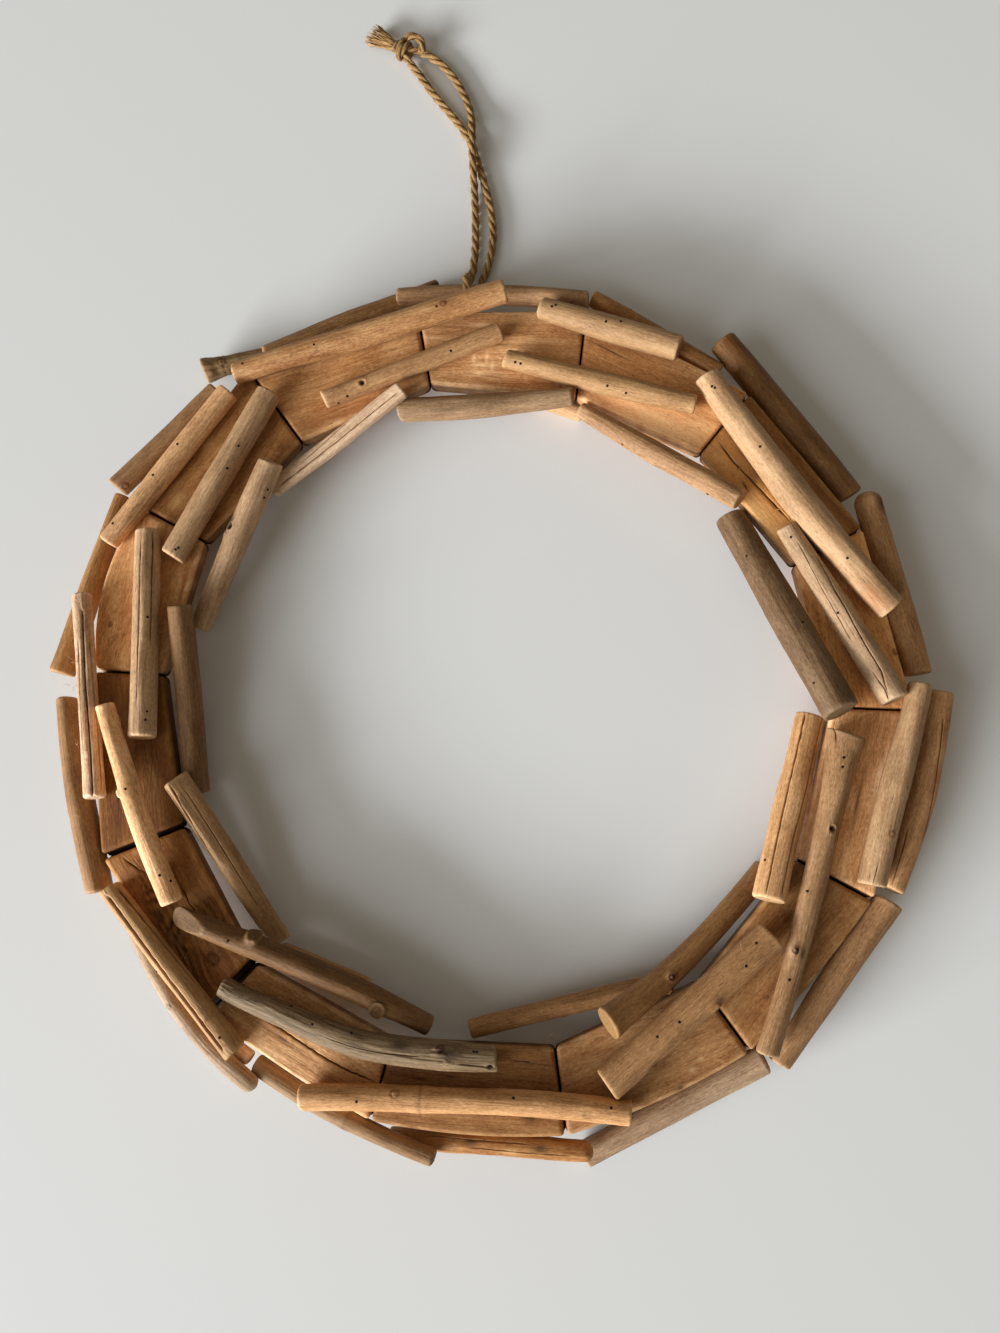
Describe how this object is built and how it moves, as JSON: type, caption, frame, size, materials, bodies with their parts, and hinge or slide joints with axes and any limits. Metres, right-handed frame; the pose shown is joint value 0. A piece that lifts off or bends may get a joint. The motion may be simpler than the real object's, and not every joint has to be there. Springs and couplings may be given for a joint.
{
  "type": "driftwood wreath",
  "caption": "Round wreath of driftwood sticks nailed over a ring of flat wooden planks, with a knotted loop of jute twine to hang it by.",
  "frame": {"origin": "on the surface that the wreath lies on, in the middle of the wood's outline; the hanging twine isn't counted", "axes": "+Z out of the wreath's front, +Y towards the hanging twine, +X to the right as seen from the front"},
  "size_m": [0.3972, 0.5446, 0.0372],
  "materials": {
    "plank_wood": "sanded smooth, unvarnished",
    "pale_driftwood": "sea-worn, dry and matt",
    "brown_driftwood": "sea-worn, dry and matt",
    "grey_driftwood": "weathered silvery grey, dry and matt",
    "jute_twine": "twisted natural jute, hairy"
  },
  "bodies": {
    "root": {"front_stick_01": "pale_driftwood", "front_stick_02": "pale_driftwood", "front_stick_03": "pale_driftwood", "front_stick_04": "pale_driftwood", "front_stick_05": "pale_driftwood", "front_stick_06": "pale_driftwood", "front_stick_07": "pale_driftwood", "front_stick_08": "pale_driftwood", "front_stick_09": "grey_driftwood", "front_stick_10": "pale_driftwood", "front_stick_11": "pale_driftwood", "front_stick_12": "pale_driftwood", "front_stick_13": "pale_driftwood", "front_stick_14": "pale_driftwood", "front_stick_15": "pale_driftwood", "front_stick_16": "grey_driftwood", "front_stick_17": "pale_driftwood", "front_stick_18": "pale_driftwood", "hanging_twine": "jute_twine", "inner_stick_01": "brown_driftwood", "inner_stick_02": "brown_driftwood", "inner_stick_03": "brown_driftwood", "inner_stick_04": "brown_driftwood", "inner_stick_05": "brown_driftwood", "inner_stick_06": "brown_driftwood", "inner_stick_07": "brown_driftwood", "inner_stick_08": "brown_driftwood", "inner_stick_09": "brown_driftwood", "inner_stick_10": "brown_driftwood", "inner_stick_11": "brown_driftwood", "outer_stick_01": "brown_driftwood", "outer_stick_02": "brown_driftwood", "outer_stick_03": "brown_driftwood", "outer_stick_04": "brown_driftwood", "outer_stick_05": "brown_driftwood", "outer_stick_06": "brown_driftwood", "outer_stick_07": "brown_driftwood", "outer_stick_08": "brown_driftwood", "outer_stick_09": "brown_driftwood", "outer_stick_10": "brown_driftwood", "outer_stick_11": "brown_driftwood", "outer_stick_12": "brown_driftwood", "outer_stick_13": "brown_driftwood", "outer_stick_14": "grey_driftwood", "outer_stick_15": "brown_driftwood", "plank_01": "plank_wood", "plank_02": "plank_wood", "plank_03": "plank_wood", "plank_04": "plank_wood", "plank_05": "plank_wood", "plank_06": "plank_wood", "plank_07": "plank_wood", "plank_08": "plank_wood", "plank_09": "plank_wood", "plank_10": "plank_wood", "plank_11": "plank_wood", "plank_12": "plank_wood", "plank_13": "plank_wood", "plank_14": "plank_wood", "twine_knot": "jute_twine"}
  },
  "joints": []
}
